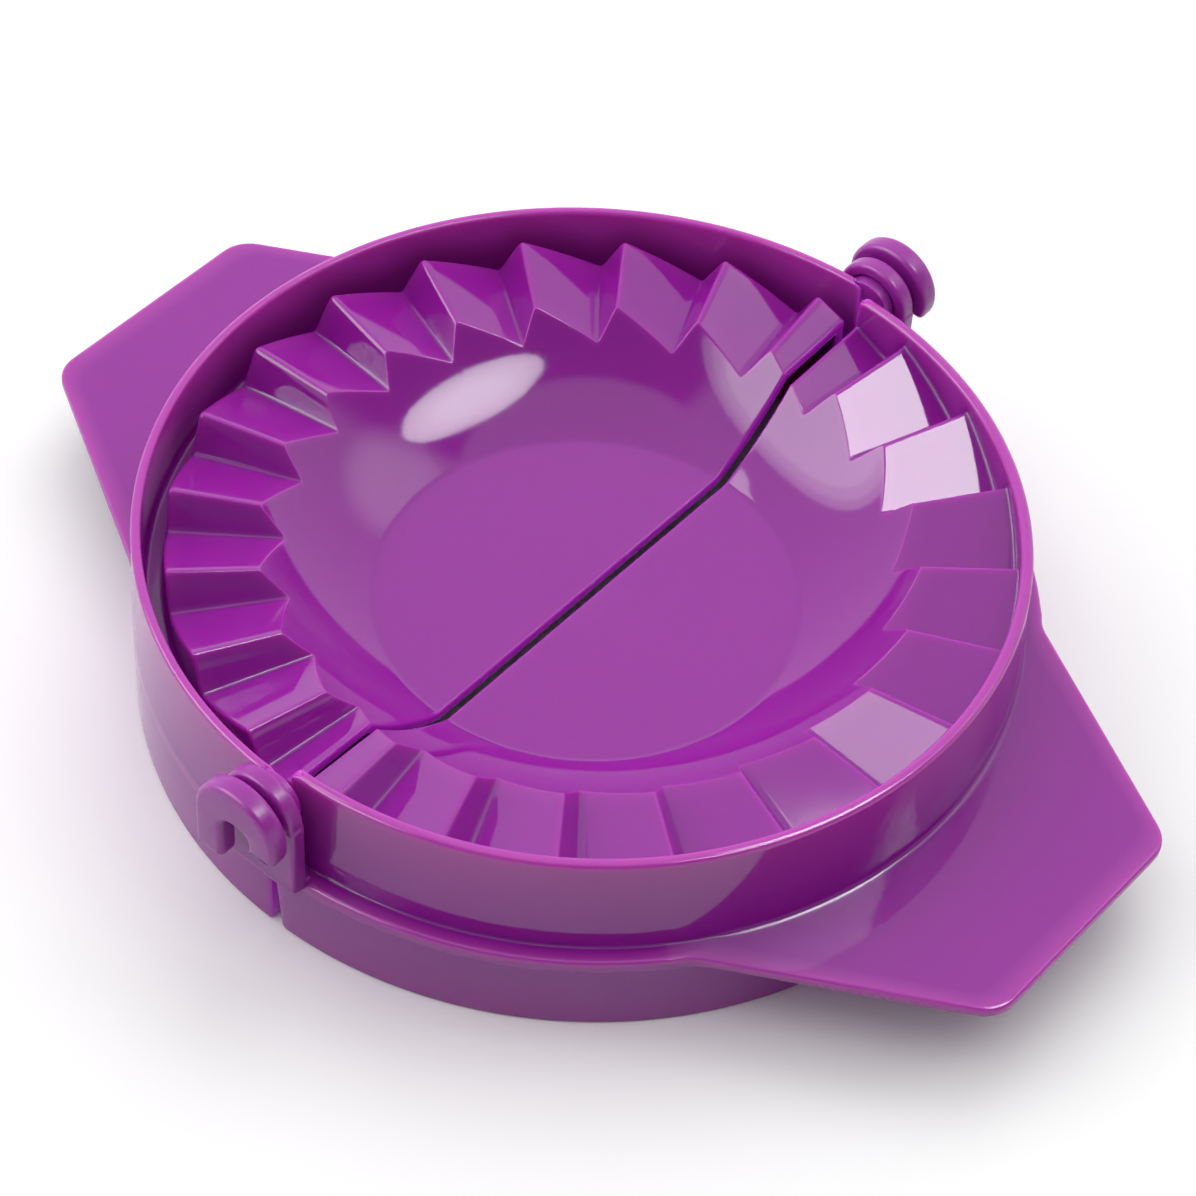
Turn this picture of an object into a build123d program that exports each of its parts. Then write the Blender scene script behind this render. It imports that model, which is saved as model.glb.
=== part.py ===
from build123d import *

import os
from math import cos, hypot, radians, sin, sqrt

# A hinged press for filled dough pockets, lying open on a table. Two moulded halves turn about one
# axis along Y, through x = 0: the left half lies at -X and the right half at +X. The origin is on
# the table, under the middle of the hinge axis. Every solid is one region of one of the two
# mouldings, and meets its neighbours face to face. Sizes are in millimetres, angles in degrees.

# ---- the whole press ----
HANDLE_REACH = 69.0          # from the hinge axis to the outer edge of each handle
AXIS_HEIGHT = 21.3           # height of the hinge axis above the table
SEAM_GAP = 1.1               # gap between the two halves when they lie open
WALL = 1.4                   # wall of the mouldings

# ---- skirt, which cuts the dough disc ----
FOOT_RADIUS = 50.7           # outside of the skirt at the table
SKIRT_FLARE = 0.7            # how much the right skirt widens from its foot to the ledge
LEFT_SKIRT_CORNER = 0.5      # rounding of the left skirt's lower corners at the seam
RIGHT_SKIRT_CORNER = 1.3

# ---- handles, and the ledge in the same plane ----
LEDGE_TOP = 11.4             # top of the ledge and of both handles
HANDLE_THICKNESS = 1.5
HANDLE_END_WIDTH = 30.4      # width where the sides and the end would meet without rounding
HANDLE_ROOT_ANGLE = 43.8     # from the handle's middle line to where a side meets the skirt's inside
HANDLE_CORNER = 4.2          # rounding of the two outer corners
HANDLE_ROOT = 5.0            # rounding where a side runs into the skirt

# ---- rim walls: the right one slides inside the left one when the press closes ----
RIM_TOP = 24.2               # top of both rim walls
RIM_CORNER = 1.2             # rounding of the rims' upper corners at the seam
LEFT_RIM_DRAFT = 0.4         # how much the left wall leans in from the handle's plane to its top
LEFT_RIM_THICKNESS = 1.1     # left rim wall at its top
RIGHT_RIM_DRAFT = 0.55       # how much the right wall leans in from the ledge to its top
RIM_CLEARANCE = 0.3          # least gap between the two rim walls when closed

# ---- bowl ----
FLOOR_TOP = 11.2             # inside of the flat bowl floor
FLOOR_RADIUS = 24.1
BOWL_SAG = 0.8               # how far the bowl's side hangs under its straight line
BOWL_EDGE_DROP = 0.5         # from the teeth's valleys down to where the crimping ring begins

# ---- crimping rings: saw teeth with radial edges ----
TEETH = 12                   # on each half
CRIMP_WIDTH = 10.2           # from the bowl's mouth to the left ring's outer edge
LEFT_PITCH = 15.0            # angle from one tooth to the next on the left ring
RIGHT_PITCH = 14.9           # and on the right ring
LEFT_TOOTH_STEEP = 3.0       # angle that a left tooth's steep side covers
RIGHT_TOOTH_STEEP = 2.6      # and a right tooth's
TOOTH_START = 6.4            # angle from the seam to the first edge
TOOTH_INNER_HEIGHT = 3.2     # at the bowl's mouth
TOOTH_OUTER_HEIGHT = 4.3     # at the ring's outer edge
CRIMP_GAP = 2.7              # dough left between the rings' outer edges when closed
RING_CLEARANCE = 0.35        # between the left ring's outer edge and the closed right rim wall
CHANNEL_CLEARANCE = 3.6      # room under the right rim's edge in the left half's channel

# ---- pivots, one at each end of the axis ----
PIN_RADIUS = 3.2
BORE_CLEARANCE = 0.2         # between a pin and the eye that turns on it
EYE_GAP = 0.2                # between the left half's wall and each eye
EYE_RADIUS = 4.8             # rounded top of each eye
EYE_THICKNESS = 2.1
LEG_WIDTH = 10.0             # upright plate under each eye
HAUNCH_DROP = 0.8            # how far the haunch under each plate reaches down the skirt
HEAD_GAP = 0.9               # between each eye and the head outside it
HEAD_RADIUS = 5.6            # rounded top and half width of each head
HEAD_THICKNESS = 2.6
SLOT_WIDTH = 3.9             # the slot that hollows each head and pin from below
SLOT_RISE = 0.6              # from the axis to the top of the slot
HEAD_LONG_DROP = 6.4         # how far the head's left side hangs under the axis
HEAD_SHORT_DROP = 2.1        # how far its right side hangs under the axis
PIN_ROOT_GAP = 0.5           # from the right rim wall to the pin's root

# ---- worked out from the sizes above ----
SEAM = SEAM_GAP / 2
FAR = 2 * HANDLE_REACH       # larger than anything that is trimmed with it
LEFT, RIGHT = -1, 1
VALLEY = AXIS_HEIGHT - (CRIMP_GAP + TOOTH_OUTER_HEIGHT) / 2
MOUTH_TOP = VALLEY + TOOTH_INNER_HEIGHT
FOOT_INSIDE = FOOT_RADIUS - WALL
LEDGE_UNDER = LEDGE_TOP - WALL
LEDGE_RADIUS = FOOT_RADIUS + SKIRT_FLARE
MEETING_HEIGHT = 2 * AXIS_HEIGHT - RIM_TOP      # where a closed rim's edge reaches on the other half
CHANNEL_TOP = MEETING_HEIGHT - CHANNEL_CLEARANCE
LEFT_RIM_RADIUS = FOOT_RADIUS - LEFT_RIM_DRAFT
LEFT_RIM_INSIDE = LEFT_RIM_RADIUS - LEFT_RIM_THICKNESS


def right_wall_radius(height):
    """Outside radius of the right rim wall, clear of the left wall's edge where they meet closed."""
    lean = RIGHT_RIM_DRAFT / (RIM_TOP - LEDGE_TOP)
    return LEFT_RIM_INSIDE - RIM_CLEARANCE + lean * (MEETING_HEIGHT - height)


def right_wall_inside(height):
    return right_wall_radius(height) - WALL


LEFT_RING_RADIUS = right_wall_inside(RIM_TOP) - RING_CLEARANCE
BOWL_MOUTH_RADIUS = LEFT_RING_RADIUS - CRIMP_WIDTH
PIN_ROOT = right_wall_radius(LEDGE_TOP) + PIN_ROOT_GAP
EYE_INNER = FOOT_RADIUS + EYE_GAP
EYE_OUTER = EYE_INNER + EYE_THICKNESS
HEAD_INNER = EYE_OUTER + HEAD_GAP
HEAD_OUTER = HEAD_INNER + HEAD_THICKNESS

# The bowl's side is an arc from the floor's edge to the mouth, hanging BOWL_SAG under its chord.
SIDE_RUN, SIDE_RISE = BOWL_MOUTH_RADIUS - FLOOR_RADIUS, MOUTH_TOP - FLOOR_TOP
SIDE_CHORD = hypot(SIDE_RUN, SIDE_RISE)
SIDE_ARC = (SIDE_CHORD**2 / 4 + BOWL_SAG**2) / (2 * BOWL_SAG)
ARC_RADIUS = (FLOOR_RADIUS + BOWL_MOUTH_RADIUS) / 2 - (SIDE_ARC - BOWL_SAG) * SIDE_RISE / SIDE_CHORD
ARC_HEIGHT = (FLOOR_TOP + MOUTH_TOP) / 2 + (SIDE_ARC - BOWL_SAG) * SIDE_RUN / SIDE_CHORD
BOWL_EDGE_RADIUS = ARC_RADIUS + sqrt(SIDE_ARC**2 - (VALLEY - BOWL_EDGE_DROP - ARC_HEIGHT) ** 2)


# ---- helpers ----
def section(*points):
    """A flat face in the XZ plane, from corners given as (radius or x, height)."""
    return make_face(Plane.XZ * Polyline(*points, close=True))


def turned(face):
    """The face carried once round the Z axis."""
    return revolve(face, Axis.Z, 360)


def half_space(side):
    """The space of one half, up to the seam, with the rounded corners of skirt and rim."""
    top = extrude(section((0, LEDGE_TOP), (0, RIM_TOP), (FAR, RIM_TOP), (FAR, LEDGE_TOP)), FAR, both=True)
    low = extrude(section((0, 0), (0, LEDGE_TOP), (FAR, LEDGE_TOP), (FAR, 0)), FAR, both=True)
    corner = LEFT_SKIRT_CORNER if side == LEFT else RIGHT_SKIRT_CORNER
    top = fillet(top.edges().filter_by(Axis.Y).sort_by(Axis.X)[:2].sort_by(Axis.Z)[-1:], RIM_CORNER)
    low = fillet(low.edges().filter_by(Axis.Y).sort_by(Axis.X)[:2].sort_by(Axis.Z)[:1], corner)
    space = Pos(SEAM, 0, 0) * (top + low)
    return space if side == RIGHT else space.mirror(Plane.YZ)


HALF = {LEFT: half_space(LEFT), RIGHT: half_space(RIGHT)}


def half_of(solid, side):
    return solid & HALF[side]


def bowl_side(inset):
    """The arc of the bowl's side, moved out from its inner face by inset, as a sketch edge."""
    reach = (SIDE_ARC + inset) / SIDE_ARC
    start = (ARC_RADIUS + reach * (FLOOR_RADIUS - ARC_RADIUS), ARC_HEIGHT + reach * (FLOOR_TOP - ARC_HEIGHT))
    end = (ARC_RADIUS + reach * (BOWL_MOUTH_RADIUS - ARC_RADIUS), ARC_HEIGHT + reach * (MOUTH_TOP - ARC_HEIGHT))
    return RadiusArc(start, end, -SIDE_ARC - inset)


def beyond_bowl(inset):
    """The turned space outside the curve of the bowl's side."""
    curve = bowl_side(inset)
    start, end = curve @ 0, curve @ 1
    edge = Polyline((end.X, end.Y), (end.X, RIM_TOP), (FAR, RIM_TOP), (FAR, 0), (start.X, 0), (start.X, start.Y))
    return turned(make_face(Plane.XZ * (curve + edge)))


# ---- bowls ----
def bowl(side):
    """Flat floor and curved side, one wall thick, up to the crimping ring."""
    upper, lower = bowl_side(0), bowl_side(WALL)
    top, under = upper @ 1, lower @ 1
    floor_under = FLOOR_TOP - WALL
    lower_start = lower @ 0
    outline = upper + Line((top.X, top.Y), (under.X, under.Y)) + lower
    outline += Polyline((lower_start.X, lower_start.Y), (lower_start.X, floor_under), (0, floor_under),
                        (0, FLOOR_TOP), (FLOOR_RADIUS, FLOOR_TOP))
    shell = turned(make_face(Plane.XZ * outline))
    within = Cylinder(BOWL_EDGE_RADIUS, RIM_TOP, align=(Align.CENTER, Align.CENTER, Align.MIN))
    return half_of(shell & within, side)


# ---- crimping rings ----
def tooth_edges(side):
    """Every radial tooth edge, as (angle from the near seam, height at the mouth, height outside)."""
    low = (VALLEY, VALLEY)
    high = (VALLEY + TOOTH_INNER_HEIGHT, VALLEY + TOOTH_OUTER_HEIGHT)
    first, second = (low, high) if side == LEFT else (high, low)
    pitch, steep = (LEFT_PITCH, LEFT_TOOTH_STEEP) if side == LEFT else (RIGHT_PITCH, RIGHT_TOOTH_STEEP)
    edges = []
    for turn in range(-1, TEETH + 1):
        angle = TOOTH_START + turn * pitch
        edges += [(angle, *first), (angle + steep, *second)]
    return edges


def tooth_section(side, angle, mouth_height, outer_height, drop):
    """Upright section of the ring at one angle: its top edge slopes from the mouth outwards."""
    slope = (outer_height - mouth_height) / (LEFT_RING_RADIUS - BOWL_MOUTH_RADIUS)
    near, away = FLOOR_RADIUS, LEDGE_RADIUS
    corners = [(near, 0), (away, 0), (away, outer_height - drop + slope * (away - LEFT_RING_RADIUS)),
               (near, mouth_height - drop - slope * (BOWL_MOUTH_RADIUS - near))]
    turn = side * angle - 90
    return Rot(0, 0, turn) * section(*corners)


def saw(side, drop):
    """Solid under the saw-toothed surface, lowered by drop: one ruled wedge between two edges."""
    sections = [tooth_section(side, *edge, drop) for edge in tooth_edges(side)]
    wedges = [loft([a, b], ruled=True) for a, b in zip(sections, sections[1:])]
    return wedges[0].fuse(*wedges[1:])


def crimp_ring(side):
    """Saw-toothed ring one wall thick, with the last of the bowl's side and its own outer wall."""
    if side == LEFT:
        base, foot, top = CHANNEL_TOP - WALL, LEFT_RING_RADIUS, LEFT_RING_RADIUS
    else:
        base, foot, top = LEDGE_TOP, right_wall_inside(LEDGE_TOP), right_wall_inside(RIM_TOP)
    band = turned(section((BOWL_EDGE_RADIUS, base), (foot, base), (top, RIM_TOP), (BOWL_EDGE_RADIUS, RIM_TOP)))
    hollow = saw(side, WALL) & beyond_bowl(WALL)
    if side == LEFT:
        hollow &= Cylinder(LEFT_RING_RADIUS - WALL, RIM_TOP, align=(Align.CENTER, Align.CENTER, Align.MIN))
    return half_of((saw(side, 0) & beyond_bowl(0) & band) - hollow, side)


# ---- left half ----
def left_channel():
    """Floor of the groove that takes the right rim wall when the press closes."""
    low = CHANNEL_TOP - WALL
    ring = turned(section((LEFT_RING_RADIUS, low), (FOOT_INSIDE, low), (FOOT_INSIDE, CHANNEL_TOP),
                          (LEFT_RING_RADIUS, CHANNEL_TOP)))
    return half_of(ring, LEFT)


def left_rim_wall():
    """Wall above the handle's plane: straight inside up to the channel, then leaning inwards."""
    wall = turned(section((FOOT_INSIDE, LEDGE_TOP), (FOOT_RADIUS, LEDGE_TOP), (LEFT_RIM_RADIUS, RIM_TOP),
                          (LEFT_RIM_INSIDE, RIM_TOP), (FOOT_INSIDE, CHANNEL_TOP)))
    return half_of(wall, LEFT)


def left_skirt():
    wall = turned(section((FOOT_INSIDE, 0), (FOOT_RADIUS, 0), (FOOT_RADIUS, LEDGE_TOP),
                          (FOOT_INSIDE, LEDGE_TOP)))
    return half_of(wall, LEFT)


# ---- right half ----
def skirt_radius(height):
    """Outside radius of the right skirt, which widens from its foot to the ledge."""
    return FOOT_RADIUS + (LEDGE_RADIUS - FOOT_RADIUS) * height / LEDGE_TOP


def right_skirt():
    wall = turned(section((FOOT_INSIDE, 0), (FOOT_RADIUS, 0), (skirt_radius(LEDGE_UNDER), LEDGE_UNDER),
                          (skirt_radius(LEDGE_UNDER) - WALL, LEDGE_UNDER)))
    return half_of(wall, RIGHT)


def right_ledge():
    """Step between the skirt and the rim wall that stands inside it."""
    step = turned(section((right_wall_inside(LEDGE_TOP), LEDGE_UNDER), (skirt_radius(LEDGE_UNDER), LEDGE_UNDER),
                          (LEDGE_RADIUS, LEDGE_TOP), (right_wall_inside(LEDGE_TOP), LEDGE_TOP)))
    return half_of(step, RIGHT)


def right_rim_wall():
    wall = turned(section((right_wall_inside(LEDGE_TOP), LEDGE_TOP), (right_wall_radius(LEDGE_TOP), LEDGE_TOP),
                          (right_wall_radius(RIM_TOP), RIM_TOP), (right_wall_inside(RIM_TOP), RIM_TOP)))
    return half_of(wall, RIGHT)


# ---- handles ----
def handle(side):
    """Flat plate with leaning sides and rounded corners, on the outside of the skirt."""
    root = FOOT_RADIUS if side == LEFT else LEDGE_RADIUS
    end_y = HANDLE_END_WIDTH / 2
    root_x = FOOT_INSIDE * cos(radians(HANDLE_ROOT_ANGLE))
    root_y = FOOT_INSIDE * sin(radians(HANDLE_ROOT_ANGLE))
    plate = make_face(Polyline((root_x, -root_y), (HANDLE_REACH, -end_y), (HANDLE_REACH, end_y),
                               (root_x, root_y), close=True))
    plate = fillet(plate.vertices().group_by(Axis.X)[-1], HANDLE_CORNER)
    outline = plate + Circle(root)
    outline = fillet(outline.vertices().group_by(Axis.X)[0], HANDLE_ROOT)
    solid = Pos(0, 0, LEDGE_TOP - HANDLE_THICKNESS) * extrude(outline, HANDLE_THICKNESS)
    solid -= Cylinder(root, RIM_TOP, align=(Align.CENTER, Align.CENTER, Align.MIN))
    return solid if side == RIGHT else solid.mirror(Plane.YZ)


# ---- pivots ----
def across(face, start, end):
    """The XZ face carried along +Y from start to end."""
    return Pos(0, end, 0) * extrude(face, end - start)


def slot_face():
    """The slot seen along the axis: straight sides and a half-round top, open below."""
    radius = SLOT_WIDTH / 2
    centre = AXIS_HEIGHT + SLOT_RISE - radius
    sides = section((-radius, LEDGE_TOP), (radius, LEDGE_TOP), (radius, centre), (-radius, centre))
    return sides + Plane.XZ * Pos(0, centre) * Circle(radius)


def at_end(end, solid):
    """Places a far pivot's solid at the far end, or its mirror image at the near end."""
    return solid if end == "far" else solid.mirror(Plane.XZ)


def pivot_pin(end):
    """Hollow stub on the hinge axis, from the left rim wall's end to the head."""
    face = Plane.XZ * Pos(0, AXIS_HEIGHT) * Circle(PIN_RADIUS) - slot_face()
    pin = across(face, PIN_ROOT, HEAD_INNER)
    return at_end(end, pin - left_rim_wall())


def pivot_head(end):
    """Rounded plate that keeps the eye on its pin, hollowed by the slot from below."""
    disc = Plane.XZ * Pos(0, AXIS_HEIGHT) * Circle(HEAD_RADIUS)
    left = section((-HEAD_RADIUS, AXIS_HEIGHT - HEAD_LONG_DROP), (0, AXIS_HEIGHT - HEAD_LONG_DROP),
                   (0, AXIS_HEIGHT), (-HEAD_RADIUS, AXIS_HEIGHT))
    cut_off = section((0, 0), (HEAD_RADIUS, 0), (HEAD_RADIUS, AXIS_HEIGHT - HEAD_SHORT_DROP),
                      (0, AXIS_HEIGHT - HEAD_SHORT_DROP))
    face = disc + left - cut_off - slot_face()
    return at_end(end, across(face, HEAD_INNER, HEAD_OUTER))


def hinge_eye(end):
    """Upright plate on the right half's ledge that turns on the pin, with a haunch under it."""
    top = Plane.XZ * Pos(0, AXIS_HEIGHT) * Circle(EYE_RADIUS)
    side_x = LEG_WIDTH / 2
    leg = section((-side_x, LEDGE_TOP), (side_x, LEDGE_TOP), (side_x, AXIS_HEIGHT), (-side_x, AXIS_HEIGHT))
    bore = Plane.XZ * Pos(0, AXIS_HEIGHT) * Circle(PIN_RADIUS + BORE_CLEARANCE)
    plate = across(top + leg - bore, EYE_INNER, EYE_OUTER)
    haunch_side = Plane.YZ * Polyline((FOOT_RADIUS, LEDGE_TOP - HAUNCH_DROP), (EYE_OUTER, LEDGE_TOP),
                                      (FOOT_RADIUS, LEDGE_TOP), close=True)
    haunch = Pos(SEAM, 0, 0) * extrude(make_face(haunch_side), side_x - SEAM)
    skirt = turned(section((0, 0), (FOOT_RADIUS, 0), (LEDGE_RADIUS, LEDGE_TOP), (0, LEDGE_TOP)))
    return at_end(end, plate + (haunch - skirt))


# ---- write one file for each region ----
PARTS = {
    "left_bowl": bowl(LEFT),
    "left_crimp_ring": crimp_ring(LEFT),
    "left_channel_floor": left_channel(),
    "left_rim_wall": left_rim_wall(),
    "left_skirt": left_skirt(),
    "left_handle": handle(LEFT),
    "near_pivot_pin": pivot_pin("near"),
    "near_pivot_head": pivot_head("near"),
    "far_pivot_pin": pivot_pin("far"),
    "far_pivot_head": pivot_head("far"),
    "right_bowl": bowl(RIGHT),
    "right_crimp_ring": crimp_ring(RIGHT),
    "right_rim_wall": right_rim_wall(),
    "right_ledge": right_ledge(),
    "right_skirt": right_skirt(),
    "right_handle": handle(RIGHT),
    "near_hinge_eye": hinge_eye("near"),
    "far_hinge_eye": hinge_eye("far"),
}

os.makedirs("parts", exist_ok=True)
for name, shape in PARTS.items():
    shape.label = name
    export_step(shape, f"parts/{name}.step")
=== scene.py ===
# %% [markdown]
# # A hinged dough press, dressed from its solids
#
# The press is two glossy plastic mouldings that lie open on a table, joined by a pivot at each end
# of their seam. The solids already hold its sizes. This lesson gives it the shape that comes out of
# a real mould: one unbroken skin for each half, with every edge rounded, and a plastic that lets a
# little light in, with a painted glow added at its thin edges and at its seam.
#
# All shapes are worked out in millimetres, as numpy arrays, and become metres in one place.

import bmesh
import bpy
import numpy as np
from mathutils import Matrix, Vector
from mathutils.geometry import tessellate_polygon


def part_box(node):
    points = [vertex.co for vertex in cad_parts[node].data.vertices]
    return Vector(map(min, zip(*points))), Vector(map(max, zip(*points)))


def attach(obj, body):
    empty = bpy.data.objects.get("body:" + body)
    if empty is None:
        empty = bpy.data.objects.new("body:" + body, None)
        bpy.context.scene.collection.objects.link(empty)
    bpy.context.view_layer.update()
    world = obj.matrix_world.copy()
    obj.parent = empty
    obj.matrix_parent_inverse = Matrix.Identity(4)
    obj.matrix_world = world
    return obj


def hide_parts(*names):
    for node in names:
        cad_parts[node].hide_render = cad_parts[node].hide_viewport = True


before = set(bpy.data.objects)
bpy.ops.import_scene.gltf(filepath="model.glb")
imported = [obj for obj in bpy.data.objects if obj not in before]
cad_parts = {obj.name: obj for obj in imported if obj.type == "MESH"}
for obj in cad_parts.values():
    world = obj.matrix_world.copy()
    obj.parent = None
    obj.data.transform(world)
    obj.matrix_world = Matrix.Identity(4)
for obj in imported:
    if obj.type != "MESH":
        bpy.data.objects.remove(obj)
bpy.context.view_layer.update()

# %% [markdown]
# ## Sizes
#
# Whatever a solid's box can tell is read from it, so the skin follows the solids when they change.
# The other sizes are the ones that no box shows, such as where the bowl's flat floor ends.

# %% Sizes read from the solids, in millimetres
MM = 0.001


def low(node, axis):
    """Lowest coordinate of a node along one axis, in millimetres."""
    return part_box(node)[0][axis] / MM


def high(node, axis):
    """Highest coordinate of a node along one axis, in millimetres."""
    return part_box(node)[1][axis] / MM


X, Y, Z = 0, 1, 2
SEAM = low("right_skirt", X)
HANDLE_END = high("right_handle", X)
RIM_TOP = high("left_rim_wall", Z)
LEDGE_TOP = high("right_ledge", Z)
LEDGE_UNDER = low("right_ledge", Z)
LEDGE_RADIUS = high("right_ledge", X)
HANDLE_UNDER = low("left_handle", Z)
CHANNEL_TOP = high("left_channel_floor", Z)
CHANNEL_UNDER = low("left_channel_floor", Z)
FOOT_RADIUS = -low("left_skirt", X)
RING_RADIUS = -low("left_crimp_ring", X)
RIGHT_WALL_FOOT = high("right_rim_wall", X)
FLOOR_UNDER = low("left_bowl", Z)
WALL = CHANNEL_TOP - CHANNEL_UNDER
FLOOR_TOP = FLOOR_UNDER + WALL
FOOT_INSIDE = FOOT_RADIUS - WALL
AXIS_HEIGHT = high("far_pivot_head", Z) - high("far_pivot_head", X)
print(f"seam +-{SEAM:.2f}, rim top {RIM_TOP:.1f}, ledge {LEDGE_TOP:.1f}, ring {RING_RADIUS:.2f}")

# %% Sizes that no box shows, in millimetres and degrees
FLOOR_RADIUS = 24.1          # where the bowl's flat floor ends
CRIMP_WIDTH = 10.2           # from the bowl's mouth to the left ring's outer edge
MOUTH_RADIUS = RING_RADIUS - CRIMP_WIDTH
BOWL_SAG = 0.8               # the bowl's side hangs this far under its chord
LEFT_RIM_RADII = (49.2, 50.3)     # inside and outside of the left rim's top
RIGHT_RIM_RADII = (47.25, 48.65)  # inside and outside of the right rim's top
VALLEY = 17.8                # height of the teeth's valleys
TOOTH_RISE = (3.2, 4.3)      # height of a tooth at the bowl's mouth and at the ring's edge
TEETH = 12                   # on each half
TOOTH_START = 6.4            # angle from the seam to the first tooth's foot
TOOTH_PITCH = {"left": 15.0, "right": 14.9}   # angle from one tooth to the next
TOOTH_STEEP = {"left": 3.0, "right": 2.6}     # angle that a tooth's steep side takes
HANDLE_HALF = 15.2           # half the handle's end, where end and side would meet
HANDLE_ROOT_ANGLE = 43.8     # where a side would meet the inside of the skirt
MOUTH_TOP = VALLEY + TOOTH_RISE[0]
print(f"bowl {2 * FLOOR_RADIUS:.0f} mm across its floor, {2 * MOUTH_RADIUS:.0f} mm across its mouth")

# %% [markdown]
# ## Rounding corners
#
# A moulded part has no sharp corner: steel moulds are cut with round tools, and plastic would tear at
# a knife edge. So every section here is first a line of plain corners, and then each corner is
# replaced by an arc that touches both of its sides. The arc through two touching points A and B with
# the corner C between them is a weighted blend, (1-s)^2 A + 2 w s (1-s) C + s^2 B, divided by the
# weights' sum, where w is the cosine of half the turn. That is an exact circle, and numpy works it
# out for all columns of a surface at once.
#
# A point a little way along each side is added as well. Smooth shading tilts the light near a bend,
# and these points keep that tilt inside a strip of 0.2 mm, so flat faces look flat.

# %% A line of corners made round
HOLD = 0.2                   # length of the strip that keeps a face flat beside its rounded edge
MOST_REACH = 0.48            # share of a side that the rounding at one of its ends may take


def unit(v):
    """Directions of the vectors, and zero where a vector has no length."""
    length = np.linalg.norm(v, axis=-1, keepdims=True)
    return v / np.maximum(length, 1e-9)


def rounded(corners, radii, closed=False, steps=4):
    """Replace each corner that has a radius with an arc; corners is (columns, corners, 2)."""
    count = corners.shape[1]
    ahead = np.roll(corners, -1, axis=1) - corners
    length = np.linalg.norm(ahead, axis=-1)
    onward = unit(ahead)
    back = -np.roll(onward, 1, axis=1)
    half_turn = np.arccos(np.clip(-(onward * back).sum(-1), -1, 1)) / 2
    room = np.minimum(length, np.roll(length, 1, axis=1)) * MOST_REACH
    reach = np.minimum(np.array(radii) * np.tan(half_turn), room)
    if not closed:
        reach[:, 0] = reach[:, -1] = 0
    spare = np.minimum((length - reach - np.roll(reach, -1, axis=1)) / 3, HOLD)
    s = np.linspace(0, 1, steps + 1)[None, :, None]
    pieces = []
    for k in range(count):
        corner = corners[:, k : k + 1]
        if radii[k] == 0 or (not closed and k in (0, count - 1)):
            pieces.append(corner)
            continue
        a = corner + back[:, k : k + 1] * reach[:, k, None, None]
        b = corner + onward[:, k : k + 1] * reach[:, k, None, None]
        w = np.cos(half_turn[:, k])[:, None, None]
        arc = (1 - s) ** 2 * a + 2 * w * s * (1 - s) * corner + s**2 * b
        arc = arc / ((1 - s) ** 2 + 2 * w * s * (1 - s) + s**2)
        before = a + back[:, k : k + 1] * spare[:, k - 1, None, None]
        after = b + onward[:, k : k + 1] * spare[:, k, None, None]
        pieces += [before, arc, after]
    return np.concatenate(pieces, axis=1)


def closely(line, count=1500):
    """Many points at equal steps along a line, so that what is read off between them is exact."""
    along = np.concatenate([[0], np.cumsum(np.linalg.norm(np.diff(line, axis=0), axis=1))])
    steps = np.linspace(0, along[-1], count)
    return np.stack([np.interp(steps, along, line[:, k]) for k in (0, 1)], axis=-1)


square = np.array([[[0, 0], [10, 0], [10, 10], [0, 10]]], dtype=float)
print("a rounded square has", rounded(square, [1, 1, 1, 1], closed=True).shape[1], "points")

# %% [markdown]
# ## The teeth
#
# The crimping ring is a saw that runs round the bowl: each tooth has a gentle face of about 12 degrees
# and a steep one of about 3, and its edges point at the bowl's middle. The two halves hold opposite
# saws, so that a crest of one closes into a valley of the other.
#
# The saw's height is a function of the angle alone, from 0 in a valley to 1 on a crest, found by
# straight interpolation between the edges. Averaging it over a small turn each way rounds crests and
# valleys without moving the faces between them.

# %% Height of the saw at any angle from the seam
CREST_ROUND = 0.42           # half the angle over which an edge is rounded


def saw_edges(side):
    """Angles of all tooth edges from the near seam, and the saw's height on each, 0 or 1."""
    first = TOOTH_START + TOOTH_PITCH[side] * np.arange(-1, TEETH + 1)
    angles = np.stack([first, first + TOOTH_STEEP[side]], axis=1).ravel()
    heights = np.tile([0.0, 1.0] if side == "left" else [1.0, 0.0], len(first))
    return angles, heights


def saw(turn, side):
    """Saw height at each angle, averaged over a small turn each way so that its edges are round."""
    spread = np.linspace(-CREST_ROUND, CREST_ROUND, 9)
    return np.mean([np.interp(turn + step, *saw_edges(side)) for step in spread], axis=0)


def tooth_top(radius, height):
    """Height of the ring's surface: the valley's plane, plus a rise that grows with the radius."""
    growth = (TOOTH_RISE[1] - TOOTH_RISE[0]) / (RING_RADIUS - MOUTH_RADIUS)
    return VALLEY + height * (TOOTH_RISE[0] + growth * (radius - MOUTH_RADIUS))


print("saw at the first three edges:", saw(saw_edges("left")[0][2:5], "left").round(2))

# %% [markdown]
# ## The bowl's side
#
# The side is an arc from the edge of the floor to the highest teeth. Where a tooth is lower, the arc
# simply ends sooner, so the inner ends of the teeth make a zigzag line. Arc and tooth meet where both
# have the same height: a few rounds of putting one into the other find that radius.

# %% The arc, and where it meets a tooth
run, rise = MOUTH_RADIUS - FLOOR_RADIUS, MOUTH_TOP - FLOOR_TOP
chord = np.hypot(run, rise)
ARC = (chord**2 / 4 + BOWL_SAG**2) / (2 * BOWL_SAG)
ARC_X = (FLOOR_RADIUS + MOUTH_RADIUS) / 2 - (ARC - BOWL_SAG) * rise / chord
ARC_Z = (FLOOR_TOP + MOUTH_TOP) / 2 + (ARC - BOWL_SAG) * run / chord


def meeting_radius(height, inset):
    """Radius where the side, moved out by inset, meets the teeth, lowered by inset."""
    radius = np.full_like(height, MOUTH_RADIUS)
    for _ in range(8):
        drop = ARC_Z - (tooth_top(radius, height) - inset)
        radius = ARC_X + np.sqrt((ARC + inset) ** 2 - drop**2)
    return radius


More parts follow.
